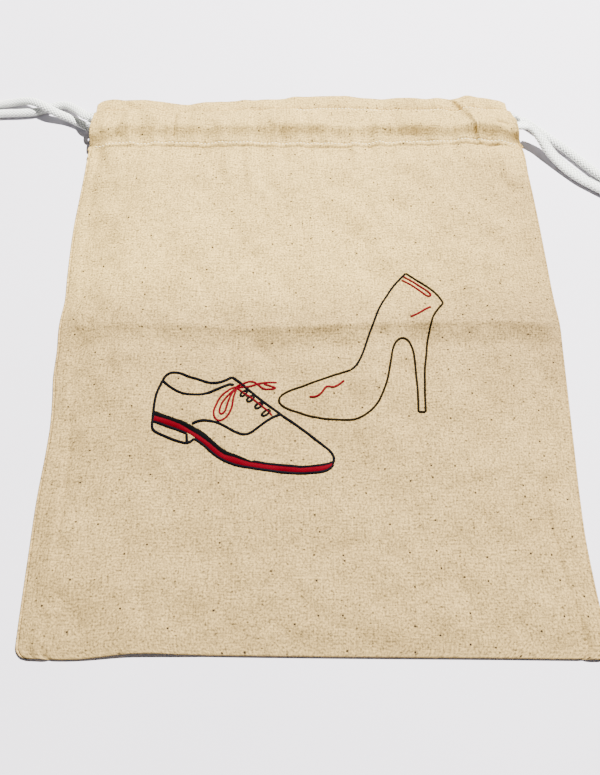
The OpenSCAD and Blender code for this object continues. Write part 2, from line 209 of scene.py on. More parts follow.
def evenly(path, step):
    """The same path with its points about step apart."""
    reach = arc_length(path)
    at = np.linspace(0, reach[-1], max(2, round(reach[-1] / step) + 1))
    return np.stack([np.interp(at, reach, path[:, k]) for k in range(path.shape[1])], axis=1)


def smooth_path(points, step):
    """Points about step apart along the smooth curve through points, the CAD model's own curve."""
    p = np.array(points, float)
    p = np.vstack([p[:1], p, p[-1:]])
    t = np.linspace(0, 1, 40, endpoint=False)[:, None]
    parts = []
    for a, b, c, d in zip(p, p[1:], p[2:], p[3:]):
        parts.append(0.5 * (2 * b + (c - a) * t + (2 * a - 5 * b + 4 * c - d) * t ** 2
                            + (3 * b - a - 3 * c + d) * t ** 3))
    return evenly(np.vstack(parts + [p[-1:]]), step)


# ---- Meshes ----

class Shape:
    """Points in millimetres, faces, and a UV place in millimetres for each point."""

    def __init__(self):
        self.points, self.uvs, self.quads, self.caps, self.count = [], [], [], [], 0

    def add(self, points, quads, caps=(), uvs=None):
        self.points.append(points)
        self.uvs.append(points[:, :2] if uvs is None else uvs)
        self.quads.append(np.asarray(quads) + self.count)
        self.caps += [[int(i) + self.count for i in cap] for cap in caps]
        self.count += len(points)


def ring_quads(rings, sides):
    """Faces of a tube of rings * sides points, looking outward."""
    i, k = np.meshgrid(np.arange(rings - 1) * sides, np.arange(sides), indexing="ij")
    n = (k + 1) % sides
    return np.stack([i + k, i + n, i + sides + n, i + sides + k], -1).reshape(-1, 4)


def end_caps(rings, sides):
    return [list(range(sides - 1, -1, -1)), list(range((rings - 1) * sides, rings * sides))]


def braid(turn, reach):
    """Height of a braid's strands, 0 to 1: two families wind opposite ways, over and under each other."""
    around, along = BRAID_STRANDS * turn / (2 * math.pi), reach / BRAID_LAY
    a, b = around + along, around - along
    across_a, across_b = np.sin(math.pi * (a % 1)), np.sin(math.pi * (b % 1))
    over = (np.floor(a) + np.floor(b)) % 2 == 0
    return np.where(over, across_a ** 0.7 * (0.6 + 0.4 * across_b),
                    across_b ** 0.7 * (0.6 + 0.4 * across_a))


def add_tube(shape, path, half_w, half_t, sides, across=None, relief=0.0):
    """A closed tube of elliptical section along path. Its width lies level, or along across."""
    forward = unit(np.gradient(path, axis=0))
    side = unit(np.cross((0, 0, 1), forward)) if across is None else np.broadcast_to(across, path.shape)
    up = unit(np.cross(forward, side))
    reach = arc_length(path)
    turn = np.linspace(0, 2 * math.pi, sides, endpoint=False)
    swell = relief * (braid(turn[None, :], reach[:, None]) - 0.5)
    w = (np.broadcast_to(half_w, reach.shape)[:, None] - relief / 2 + swell) * np.cos(turn)
    t = (np.broadcast_to(half_t, reach.shape)[:, None] - relief / 2 + swell) * np.sin(turn)
    rings = path[:, None] + side[:, None] * w[..., None] + up[:, None] * t[..., None]
    girth = turn * float(np.mean(half_w))
    uvs = np.stack(np.broadcast_arrays(reach[:, None], girth[None, :]), -1).reshape(-1, 2)
    shape.add(rings.reshape(-1, 3), ring_quads(len(path), sides), end_caps(len(path), sides), uvs)


def add_threads(shape, starts, ends, up, half_w, half_t, bow):
    """Short stitches of thread: each goes from its start to its end, bowed in the middle towards up."""
    t = np.array([0, 0.05, 0.15, 0.32, 0.5, 0.68, 0.85, 0.95, 1.0])
    fat = np.array([0.35, 0.7, 0.93, 1, 1, 1, 0.93, 0.7, 0.35])
    forward = unit(ends - starts)
    side = unit(np.cross(np.tile(up, (len(starts), 1)), forward))
    up = np.cross(forward, side)
    turn = np.linspace(0, 2 * math.pi, 8, endpoint=False)
    length = np.linalg.norm(ends - starts, axis=1)
    for k in range(len(starts)):
        centre = starts[k] + (ends[k] - starts[k]) * t[:, None] + up[k] * (bow * np.sin(math.pi * t))[:, None]
        ring = side[k] * np.cos(turn)[:, None] * half_w + up[k] * np.sin(turn)[:, None] * half_t
        points = centre[:, None] + ring[None] * fat[:, None, None]
        uvs = np.stack(np.broadcast_arrays((t * length[k])[:, None], turn[None] * half_w), -1)
        shape.add(points.reshape(-1, 3), ring_quads(len(t), len(turn)), end_caps(len(t), len(turn)),
                  uvs.reshape(-1, 2) + (0, 3.1 * k))


def make_piece(name, node, shape, slot, normals=None):
    """A mesh object in metres, in place of a CAD node. normals holds one for each face corner."""
    points = np.concatenate(shape.points) * MM
    quads = np.concatenate(shape.quads)
    mesh = bpy.data.meshes.new(name)
    mesh.from_pydata(points.tolist(), [], quads.tolist() + shape.caps)
    mesh.polygons.foreach_set("use_smooth", np.ones(len(mesh.polygons), bool))
    corners = np.empty(len(mesh.loops), np.int32)
    mesh.loops.foreach_get("vertex_index", corners)
    uvs = (np.concatenate(shape.uvs) * MM)[corners]
    mesh.uv_layers.new(name="UVMap").data.foreach_set("uv", uvs.astype(np.float32).ravel())
    mesh.update()
    if normals is not None:
        mesh.normals_split_custom_set(normals.tolist())
    mesh.materials.append(materials[slot])
    piece = bpy.data.objects.new(name, mesh)
    bpy.context.scene.collection.objects.link(piece)
    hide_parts(node)
    return piece


# ---- Materials ----

def add_node(tree, kind, inputs=None, **settings):
    """A shader node. An input that is a socket is linked, and any other value is set."""
    node = tree.nodes.new(kind)
    for key, value in settings.items():
        setattr(node, key, value)
    for key, value in (inputs or {}).items():
        if isinstance(value, bpy.types.NodeSocket):
            tree.links.new(value, node.inputs[key])
        else:
            node.inputs[key].default_value = value
    return node


def math_node(tree, operation, a, b=0.0):
    return add_node(tree, "ShaderNodeMath", {0: a, 1: b}, operation=operation).outputs[0]


def times(tree, a, b):
    return math_node(tree, "MULTIPLY", a, b)


def plus(tree, a, b):
    return math_node(tree, "ADD", a, b)


def uv_place(tree):
    """The place on the cloth or along the thread, in metres, and its two parts."""
    uv = add_node(tree, "ShaderNodeUVMap", uv_map="UVMap").outputs[0]
    parts = add_node(tree, "ShaderNodeSeparateXYZ", {0: uv})
    return uv, parts.outputs[0], parts.outputs[1]


def stretched_noise(tree, place, width, height, detail=3.0):
    """Noise whose cells are about width by height, in metres."""
    mapping = add_node(tree, "ShaderNodeMapping", {"Vector": place, "Scale": (1 / width, 1 / height, 1)})
    inputs = {"Vector": mapping.outputs[0], "Scale": 1.0, "Detail": detail}
    return add_node(tree, "ShaderNodeTexNoise", inputs).outputs["Fac"]


def ramp(tree, value, low, high):
    """value taken from the range low to high into 0 to 1."""
    inputs = {"Value": value, "From Min": low, "From Max": high}
    return add_node(tree, "ShaderNodeMapRange", inputs).outputs[0]


def mix_colour(tree, amount, a, b, blend="MIX"):
    node = add_node(tree, "ShaderNodeMix", {0: amount, 6: a, 7: b}, data_type="RGBA", blend_type=blend)
    return node.outputs[2]


def new_material(name, roughness, sheen=0.0, specular=0.5):
    material = bpy.data.materials.new(name)
    material.use_nodes = True
    tree = material.node_tree
    shader = tree.nodes["Principled BSDF"]
    shader.inputs["Roughness"].default_value = roughness
    shader.inputs["Sheen Weight"].default_value = sheen
    shader.inputs["Sheen Roughness"].default_value = 0.4
    shader.inputs["Specular IOR Level"].default_value = specular
    return material, tree, shader


def finish_material(tree, shader, colour, height=None, strength=0.0, distance=0.0):
    """Give the shader its colour and, where there is one, its relief."""
    tree.links.new(colour, shader.inputs["Base Color"])
    if height is not None:
        inputs = {"Height": height, "Strength": strength, "Distance": distance}
        bump = add_node(tree, "ShaderNodeBump", inputs)
        tree.links.new(bump.outputs[0], shader.inputs["Normal"])


def flecks(tree, uv, cell, radius, share, stretch):
    """Small specks, 1 inside and 0 outside. share is the part of the cells that have one."""
    mapping = add_node(tree, "ShaderNodeMapping", {"Vector": uv, "Scale": (stretch / cell, 1 / cell, 1)})
    cells = add_node(tree, "ShaderNodeTexVoronoi", {"Vector": mapping.outputs[0], "Scale": 1.0},
                     voronoi_dimensions="2D")
    near = ramp(tree, cells.outputs["Distance"], radius / cell, 0.55 * radius / cell)
    pick = add_node(tree, "ShaderNodeSeparateColor", {0: cells.outputs["Color"]}).outputs[0]
    return times(tree, near, math_node(tree, "LESS_THAN", pick, share))


def cotton_material():
    """Unbleached plain weave: visible threads with slubs, soft mottling, dark specks of seed, and two slow
    changes of painted shade, darker below the storage crease and towards the upper right."""
    material, tree, shader = new_material("cotton_cloth", 0.9, specular=0.08)
    uv, x, y = uv_place(tree)
    warp, weft = (math_node(tree, "SINE", times(tree, part, 2 * math.pi / WEAVE_PITCH)) for part in (x, y))
    slubs = plus(tree, stretched_noise(tree, uv, 0.0009, 0.009), stretched_noise(tree, uv, 0.009, 0.0009))
    grain = stretched_noise(tree, uv, 0.0011, 0.0011)
    mottle = stretched_noise(tree, uv, 0.03, 0.045)
    white, seed = (1, 1, 1, 1), (0.019, 0.012, 0.007, 1)
    light, dark = (0.69, 0.475, 0.158, 1), (0.175, 0.122, 0.046, 1)
    mixed = plus(tree, times(tree, slubs, 0.55), times(tree, grain, 1.6))
    colour = mix_colour(tree, ramp(tree, mixed, 1.0, 1.66), dark, light)
    # painted shade: the cloth's colour darkens below the storage crease, standing in for shade
    lower = ramp(tree, y, 0.036, 0.0)
    # painted shade: the cloth's colour darkens towards the upper right, standing in for weaker light there
    right = times(tree, ramp(tree, x, 0.03, 0.15), ramp(tree, y, -0.06, 0.02))
    right = times(tree, right, ramp(tree, y, 0.15, 0.11))
    # the mottle is the cloth's own tone; the second and third tones are painted shade
    for tone in (mix_colour(tree, ramp(tree, mottle, 0.3, 0.72), (0.86, 0.85, 0.84, 1), white),
                 mix_colour(tree, lower, white, (0.70, 0.69, 0.77, 1)),
                 mix_colour(tree, right, white, (0.72, 0.71, 0.78, 1))):
        colour = mix_colour(tree, 1.0, colour, tone, "MULTIPLY")
    for cell, radius, share, stretch, strength in ((0.0050, 0.00055, 0.34, 0.7, 0.7),
                                                   (0.0036, 0.00038, 0.40, 1.6, 0.65),
                                                   (0.0115, 0.0007, 0.34, 0.9, 1.0)):
        speck = times(tree, flecks(tree, uv, cell, radius, share, stretch), strength)
        colour = mix_colour(tree, speck, colour, seed)
    height = plus(tree, times(tree, times(tree, warp, weft), 0.25), times(tree, slubs, 1.6))
    finish_material(tree, shader, colour, height, 0.55, 0.00022)
    return material


def cord_material():
    """White polyester braid: painted shade in the gaps between the yarns, faint lines along them, and a soft
    gloss.
    """
    material, tree, shader = new_material("white_cord", 0.5, sheen=0.1, specular=0.3)
    uv, x, y = uv_place(tree)
    fibres = stretched_noise(tree, uv, 0.0025, 0.0003)
    along = times(tree, x, math.pi / (BRAID_LAY * MM))
    around = times(tree, y, BRAID_STRANDS / (2 * CORD_HALF_W * MM))
    lines = [math_node(tree, "ABSOLUTE", math_node(tree, "SINE", math_node(tree, way, along, around)))
             for way in ("ADD", "SUBTRACT")]
    # painted shade: the colour goes dark in the gaps between the yarns, where shade falls
    away_from_gap_shade = ramp(tree, math_node(tree, "MINIMUM", *lines), 0.0, 0.5)
    yarn = mix_colour(tree, ramp(tree, fibres, 0.3, 0.7), (0.70, 0.715, 0.665, 1), (0.86, 0.88, 0.82, 1))
    colour = mix_colour(tree, away_from_gap_shade, (0.13, 0.13, 0.12, 1), yarn)
    finish_material(tree, shader, colour, fibres, 0.35, 0.0001)
    return material


def thread_material(name, dark, light, roughness=0.5, specular=0.012):
    """Embroidery or sewing thread: twisted fibres, with a painted highlight, brighter where they catch the
    light.
    """
    material, tree, shader = new_material(name, roughness, specular=specular)
    uv, x, y = uv_place(tree)
    slant = plus(tree, times(tree, x, 2 * math.pi / 0.0009), times(tree, y, 2 * math.pi / 0.0005))
    fibres = stretched_noise(tree, uv, 0.0015, 0.00015, 2.0)
    height = plus(tree, times(tree, math_node(tree, "SINE", slant), 0.3), fibres)
    # painted highlight: the colour runs from dark to light up the ridges of the twist
    colour = mix_colour(tree, ramp(tree, height, 0.1, 0.95), (*dark, 1), (*light, 1))
    finish_material(tree, shader, colour, height, 0.5, 0.00008)
    return material


def floor_material():
    """A plain pale floor with the faintest mottling."""
    material, tree, shader = new_material("pale_floor", 0.85, specular=0.2)
    place = add_node(tree, "ShaderNodeTexCoord").outputs["Object"]
    cloud = stretched_noise(tree, place, 1 / 6, 1 / 6, 2.0)
    colour = mix_colour(tree, ramp(tree, cloud, 0.3, 0.7), (0.60, 0.575, 0.625, 1), (0.63, 0.605, 0.655, 1))
    finish_material(tree, shader, colour)
    return material


# ---- Camera, floor and light ----

def make_camera():
    """A phone held above the bag's lower end."""
    place, target = Vector((-8.1, -190.0, 355.6)) * MM, Vector((-6.8, -37.3, 0)) * MM
    camera = bpy.data.objects.new("camera", bpy.data.cameras.new("camera"))
    camera.location = place
    level = (target - place).to_track_quat("-Z", "Y")
    camera.rotation_euler = (level @ Quaternion((0, 0, 1), math.radians(CAMERA_ROLL))).to_euler()
    camera.data.lens = 30.66
    camera.data.clip_start = 0.01
    bpy.context.scene.collection.objects.link(camera)
    bpy.context.scene.camera = camera


def make_light(name, place, size, power, colour):
    """A square lamp that shines at the bag's middle."""
    light = bpy.data.objects.new(name, bpy.data.lights.new(name, "AREA"))
    light.data.size = size
    light.data.energy = power
    light.data.color = colour
    light.location = place
    light.rotation_euler = (-Vector(place)).to_track_quat("-Z", "Y").to_euler()
    bpy.context.scene.collection.objects.link(light)


def make_stage():
    mesh = bpy.data.meshes.new("floor")
    mesh.from_pydata([(-4, -4, 0), (4, -4, 0), (4, 4, 0), (-4, 4, 0)], [], [(0, 1, 2, 3)])
    floor = bpy.data.objects.new("floor", mesh)
    floor.data.materials.append(floor_material())
    bpy.context.scene.collection.objects.link(floor)
    make_light("key", (0.60, 1.06, 1.86), 0.045, 370, (1.0, 0.99, 0.97))
    make_light("fill", (-0.8, -0.6, 2.2), 2.0, 7, (0.94, 0.96, 1.0))
    world = bpy.data.worlds.new("studio")
    world.use_nodes = True
    background = world.node_tree.nodes["Background"]
    background.inputs["Color"].default_value = (0.93, 0.95, 1.0, 1)
    background.inputs["Strength"].default_value = 0.1
    bpy.context.scene.world = world


# ---- Cords ----

def make_cord_piece(name, shape, body):
    piece = make_piece(name + "_braid", name, shape, "white_cord")
    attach(piece, body)
    return piece


def make_strand(name, route, body, wide=1.0, flat=1.0):
    """A free strand, flat where it leaves the casing and rounder further out."""
    path = smooth_path(route, 0.3)
    loose = smoothstep(arc_length(path) / 22)
    half_w = RUN_HALF_W + (CORD_HALF_W * wide - RUN_HALF_W) * loose
    half_t = RUN_HALF_T + (CORD_HALF_T * flat - RUN_HALF_T) * loose
    shape = Shape()
    add_tube(shape, path, half_w, half_t, 56, relief=0.6)
    piece = make_cord_piece(name, shape, body)


def make_run(name, exit_side, y, z, body):
    """A cord inside a casing, pressed flat, from the slit it comes out of to the slit where it turns back."""
    far = -exit_side * (half_width(-exit_side, y) - LOOP_TUCK)
    path = evenly(np.array([(exit_side * HALF_W, y, z), (far, y, z)]), 0.6)
    shape = Shape()
    add_tube(shape, path, RUN_HALF_W, RUN_HALF_T, 32, relief=0.3)
    make_cord_piece(name, shape, body)


def make_loop(name, side, front_y, back_y, body):
    """The turn that takes a cord from the front casing to the back one at a side slit."""
    x = side * (half_width(side, (front_y + back_y) / 2) - LOOP_TUCK)
    front, back = np.array([x, front_y, FRONT_LANE_Z]), np.array([x, back_y, BACK_LANE_Z])
    middle, arm = (front + back) / 2, (front - back) / 2
    bend = np.array([side * 4.6, 0, 0])
    angle = np.linspace(0, math.pi, 60)[:, None]
    path = evenly(middle + arm * np.cos(angle) + bend * np.sin(angle), 0.3)
    across = unit(np.cross(arm, bend))
    shape = Shape()
    add_tube(shape, path, 1.6, 1.5, 40, across=across, relief=0.3)
    make_cord_piece(name, shape, body)


def make_knot(name, at, turn_deg, body):
    """Both strands wrapped into one knot, with two short frayed tips beyond it."""
    c, s = math.cos(math.radians(turn_deg)), math.sin(math.radians(turn_deg))

    def placed(points):
        x, y, z = np.asarray(points, float).T
        return np.stack([at[0] + c * x - s * y, at[1] + s * x + c * y, at[2] + z], -1)

    shape = Shape()
    angle = np.linspace(0, 2 * math.pi * 2.6, 220)
    along = -5.4 + 10.8 * angle / angle[-1]
    radius = 4.9 - 0.5 * np.abs(along / 5.4) ** 3
    wraps = np.stack([along, radius * np.cos(angle), radius * np.sin(angle)], -1)
    tilt = np.stack([0.5 * np.cos(angle), 0 * angle, 0 * angle], -1)
    wrapped = evenly(placed(wraps + tilt), 0.35)
    add_tube(shape, wrapped, 2.5, 2.3, 40, across=np.array([c, s, 0.0]), relief=0.35)
    cross_over = smooth_path(placed([(-7.5, 3.5, -2), (-5.5, 5.2, 2.5), (0, 2.4, 6.2), (5.5, -3.6, 4.6),
                                     (7.5, -4, -1)]), 0.35)
    add_tube(shape, cross_over, 2.5, 2.0, 40, relief=0.35)
    for way in (-1, 1):
        core = smooth_path(placed([(-9, way * 3.6, -4.8), (-4, way * 2, -1.5), (4, way * 1.8, -1),
                                   (9, way * 3.4, -3.6), (15, way * 5, -5.1), (23, way * 7.6, -5.2)]), 0.35)
        end = arc_length(core) / arc_length(core)[-1]
        add_tube(shape, core, 2.4 + 0.5 * smoothstep((end - 0.8) / 0.2), 2.1, 40, relief=0.35)
        draw = np.random.default_rng(7 + way)
        tip, outward = core[-1], unit(core[-1] - core[-4])
        sideways = np.array([-outward[1], outward[0], 0])
        for _ in range(46):
            spread, lift = draw.uniform(-1, 1), draw.uniform(-1, 1)
            root = tip + sideways * spread * 2.2 + (0, 0, lift * 1.5)
            reach = draw.uniform(2.5, 4.8)
            bow = sideways * spread * 1.6 + (0, 0, lift * 0.5)
            fibre = smooth_path([root - outward * 1.5, root + outward * reach * 0.5 + bow * 0.4,
                                 root + outward * reach + bow], 0.5)
            fibre[:, 2] = np.maximum(fibre[:, 2], 0.25)
            add_tube(shape, fibre, 0.16, 0.16, 5)
    for points in shape.points:
        points[:, 2] = np.maximum(points[:, 2], 0.05)
    make_cord_piece(name, shape, body)


# ---- The cloth's shape ----

def half_width(side, v):
    """Distance from the middle to the side edge, with the two bottom corners rounded."""
    width = through(LEFT_OUTLINE if side < 0 else RIGHT_OUTLINE, v)
    into = np.clip(1 - (v - BOTTOM_Y) / CORNER_R, 0, 1)
    return width - CORNER_R * (1 - np.sqrt(1 - into ** 2))


def cloth_x(side, s, v):
    return side * half_width(side, v) * (1 - s / HALF_W)


def shift(x, v, back=False):
    """How far the cloth at v lies from v, as its ends are a little wavy. The back's rows stay straighter."""
    bottom = (through(BOTTOM_EDGE, x) - BOTTOM_Y) * (1 - smoothstep((v - BOTTOM_Y) / 90))
    low_row = (through(LOW_ROW, x) - LOW_ROW_Y) * smoothstep((v - 95) / (LOW_ROW_Y - 95))
    top = through(TOP_EDGE, x) - TOP_Y
    up = np.clip((v - LOW_ROW_Y) / (TOP_Y - LOW_ROW_Y), 0, 1)
    up = up ** 4 if back else up
    return bottom + low_row * (1 - up) + top * up


def fade_in(s, width):
    """0 at an edge and 1 from width inward: steep at first and then level."""
    q = np.clip(s / width, 0, 1)
    return 0.35 * q * (2 - q) + 0.65 * smoothstep(q)


def seam_z(v):
    """Height of the side seam. It lifts towards the slit, where the front leaves the back."""
    return 1.0 + 3.9 * smoothstep((v - 55) / (HEM_Y - 55))


def rolled(d, v):
    """Height gained as a ply turns out of the seam or fold, at the distance d from it."""
    amount = ROLL - (ROLL - 0.3) * smoothstep((v - HEM_Y) / 8)
    q = np.clip(d / ROLL, 0, 1)
    return amount * np.sqrt(1 - (1 - q) ** 2), amount


def dome(x, v, lanes, back=False):
    """How far the cords in those lanes raise a casing above its flat-sewn rows, from 0 to DOME."""
    y = v + shift(x, v, back)
    low_row, high_row = LOW_ROW_Y + shift(x, LOW_ROW_Y, back), HIGH_ROW_Y + shift(x, HIGH_ROW_Y, back)
    low, high = min(lanes) - RUN_HALF_W, max(lanes) + RUN_HALF_W
    high_row = np.maximum(high_row, high + 1.6) if back else high_row
    rise = smoothstep((y - low_row - 1) / (low - low_row + 1))
    fall = smoothstep((high_row - 0.3 - y) / np.maximum(high_row - high + 0.5, 1.6))
    return DOME * rise * fall


def over_cords(y, lanes):
    """1 where a casing's cloth rests on one of its cords and cannot sink any further."""
    return np.maximum(*[smoothstep((RUN_HALF_W + 5 - np.abs(y - lane)) / 5) for lane in lanes])


def pinch(v):
    """The dents that the stitch rows pull into the hem, and the step from the hem's edge to the panel."""
    rows = 0.8 * np.exp(-((v - LOW_ROW_Y) / 0.9) ** 2) + 0.7 * np.exp(-((v - HIGH_ROW_Y) / 1.0) ** 2)
    step = 1.2 * (1 - smoothstep((v - HEM_Y) / 1.4)) * smoothstep((v - HEM_Y + 16) / 15)
    return rows + step


broad_ripple = ripples(11, 95)
middle_ripple = ripples(12, 30)
small_ripple = ripples(13, 13)
gather_ripple = ripples(14, 11, stretch=(1, 5))
hem_ripple = ripples(15, 16, stretch=(1, 3))
crumple = ripples(16, 34)
along_ripple = ripples(17, 40)


def fold(x, y, start, end, height, left_w, right_w):
    """A ridge, or a valley where height is negative, that fades over left_w and right_w to its two sides."""
    start, end = np.array(start, float), np.array(end, float)
    length = np.linalg.norm(end - start)
    way = (end - start) / length
    dx, dy = x - start[0], y - start[1]
    along = dx * way[0] + dy * way[1]
    across = dx * way[1] - dy * way[0]
    inside = smoothstep((along + 3) / 5) * smoothstep((length + 3 - along) / 5)
    return height * inside * np.exp(-np.abs(across) / np.where(across < 0, left_w, right_w))


# Small folds: start, end, height, and the width of the left and the right flank
FOLDS = [
    ((-93, 143), (-91.5, 161), -2.0, 1.2, 2.4),
    ((-90.5, 143), (-89.5, 161), 1.5, 1.2, 6.0),
    ((-137, 141), (-125, 172), -2.2, 2.5, 5.0),
    ((-130, 146), (-122, 162), 1.3, 4.0, 4.0),
    ((-146, 128), (-139, 145), -1.8, 4.0, 4.0),
    ((-110, 138), (-103, 152), -1.4, 3.0, 6.0),
    ((115.5, 141), (108.5, 158), 2.0, 0.6, 9.0),
    ((108.5, 158), (106.5, 164), 2.0, 0.6, 8.0),
    ((108.5, 166), (100, 175), 2.2, 0.6, 8.0),
    ((118, 136.8), (129, 138), -1.8, 1.2, 1.2),
    ((127, 152.5), (142, 150.2), -1.8, 1.2, 1.8),
    ((-28, 139), (-26, 150), -1.5, 2.5, 3.0),
    ((-15, 143), (-13, 153), 0.8, 3.0, 3.0),
    ((60, 143), (57, 160), -1.3, 2.5, 4.0),
    ((-70, 139), (-66, 153), -1.2, 4.0, 4.0),
    ((16, 141), (18, 155), -1.0, 2.5, 3.5),
    ((92, 141), (89, 157), -1.2, 2.5, 3.5),
    ((-118, 116), (-112, 134), 1.3, 4.0, 6.0),
    ((-134, 110), (-139, 130), -1.5, 5.0, 5.0),
    ((132, 106), (128, 134), 1.4, 3.0, 6.0),
    ((-144, -20), (-132, 3), -1.7, 4.0, 5.0),
    ((-139.5, -181), (-135, -161), 1.5, 1.3, 7.0),
    ((-135, -163), (-136, -134), 1.4, 1.3, 7.0),
]
# The crease left from when the bag was stored folded: it crosses the bag just above its middle
CREASE = [(-152, -0.5), (-73, -1.3), (0, -3.4), (45, -1), (90, 1), (150, 0)]


def storage_crease(x, y):
    d = y - through(CREASE, x) - 0.6 * np.sin(x / 23)
    height = 2.3 + 2.1 * hill((x - 10) / 95) + 1.0 * smoothstep((x - 40) / 80) + 0.4 * along_ripple(x, 0 * x)
    ridge = np.where(d > 0, np.exp(-d / 18), np.exp(d / 4.6))
    return height * (ridge - 0.4 * np.exp(-((d + 12) / 6) ** 2))


def waves(x, s, v):
    """The cloth's own unevenness, which fades towards its edges."""
    y = v + shift(x, v)
    inner = smoothstep(s / 14) * smoothstep((v - BOTTOM_Y) / 14)
    near_hem = np.exp(-np.abs(v - LOW_ROW_Y) / 26)
    field = 0.5 * broad_ripple(x, y) + 0.4 * middle_ripple(x, y) + 0.16 * small_ripple(x, y)
    field = (field + 0.45 * np.abs(crumple(x, y))) * (1 - 0.4 * near_hem)
    field = field + storage_crease(x, y)
    gathers = 0.55 * gather_ripple(x, y) * near_hem + 0.35 * hem_ripple(x, y) * smoothstep((v - HEM_Y) / 5)
    folds = sum(fold(x, y, *f) for f in FOLDS)
    return field * inner + gathers * smoothstep(s / 5) + folds * smoothstep((s + 1) / 4)


def allowance_ridge(side, s, v):
    """The step where the seam allowance inside ends, seen through the front."""
    if side < 0:
        edge = through([(-185, 13), (-126, 15.5), (-58, 11.5), (60, 9), (140, 6)], v)
    else:
        edge = through([(-185, 10), (-140, 17), (-99, 21), (0, 13), (140, 9)], v)
    end = 1 - smoothstep((v - 120) / 20)
    groove = 0.7 * np.exp(-((s - SEAM_GROOVE) / 0.4) ** 2) * (1 - smoothstep((v - LOW_ROW_Y) / 4))
    deep = 0.35 + 0.65 * smoothstep((-v - 40) / 60)
    valley = 0.9 * deep * np.exp(-((s - edge) / 1.5) ** 2)
    step = 0.6 * (1 - smoothstep((s - edge + 1.2) / 2.6)) * smoothstep(s / 3)
    return (step - valley) * end - groove


def bottom_lift(x, v):
    """A stretch of the bottom edge stands a little off the floor."""
    return 1.4 * hill((x + 86) / 34) * (1 - smoothstep((v - BOTTOM_Y) / 32))


def header_lift(v):
    """How far the frill above the upper stitch row stands up."""
    return 0.45 * smoothstep((v - HIGH_ROW_Y) / 5)


def fade_width(v):
    return 40 - 18 * smoothstep((v - 90) / (HEM_Y - 90))


def front_height(side, s, v):
    """Height of the bag's front, on the outside of the cloth."""
    x = cloth_x(side, s, v)
    up = np.clip((v - BOTTOM_Y - 20) / (HEM_Y - BOTTOM_Y - 20), 0, 1)
    level = LOW_END_H + (FRONT_Z + HEM_T - LOW_END_H) * up
    level = level + dome(x, v, FRONT_LANES) - pinch(v) + header_lift(v)
    open_edge = smoothstep((v - LOW_ROW_Y + 1) / (SLIT_Y - LOW_ROW_Y + 1))
    roll, amount = rolled(np.minimum(s, v - BOTTOM_Y), v)
    edge = seam_z(v) + (level - amount - seam_z(v)) * open_edge
    share = fade_in(s, fade_width(v)) * fade_in(v - BOTTOM_Y, 30)
    height = edge + roll + (level - amount - edge) * share
    lean = 1.3 * hill((x - 128) / 26) * smoothstep((v - HEM_Y) / 12)
    y = v + shift(x, v)
    crest = 1.9 * smoothstep((y - 144) / 6) * (1 - smoothstep((y - 154) / 14)) * smoothstep(s / 30)
    crest = crest * (0.55 + 0.35 * hill((x - 25) / 150) + 0.2 * along_ripple(x, 0 * x))
    rough = waves(x, s, v) + lean + crest
    hem = smoothstep((v - HEM_Y) / 4)
    rough = rough + (np.maximum(rough, 0.6 * np.tanh(rough / 0.6)) - rough) * hem
    stop = over_cords(y, FRONT_LANES)
    rough = rough + (np.maximum(rough, 0.1 * np.tanh(rough)) - rough) * stop
    return height + rough + allowance_ridge(side, s, v) + bottom_lift(x, v)


def back_height(side, s, v):
    """Height of the bag's underside, on the outside of the cloth."""
    x = cloth_x(side, s, v)
    open_edge = smoothstep((v - LOW_ROW_Y + 1) / (SLIT_Y - LOW_ROW_Y + 1))
    roll, amount = rolled(np.minimum(s, v - BOTTOM_Y), v)
    edge = seam_z(v) + (GROUND + amount - seam_z(v)) * open_edge
    share = fade_in(s, fade_width(v)) * fade_in(v - BOTTOM_Y, 30)
    height = edge - roll - (edge - amount - GROUND) * share
    return np.maximum(height, GROUND) + bottom_lift(x, v)


def cloth_point(side, s, v, z, back=False):
    """The point of the front's or the back's cloth at (side, s, v), at height z."""
    s, v, z = np.broadcast_arrays(s, v, z)
    x = cloth_x(side, s, v)
    return np.stack([x, v + shift(x, v, back), z], -1)


def column_distances():
    """Distances from the side edge of a half's columns, from the edge to the middle."""
    near = [0, 0.12, 0.35, 0.65, 0.95, 1.2, 1.4, 1.6, 1.8, 2.1, 2.6, 3.5]
    return np.array(near + list(np.linspace(4.6, HALF_W, 118)))


def grid_normals(points):
    down = np.gradient(points, axis=0)
    across = np.gradient(points, axis=1)
    return unit(np.cross(across, down))


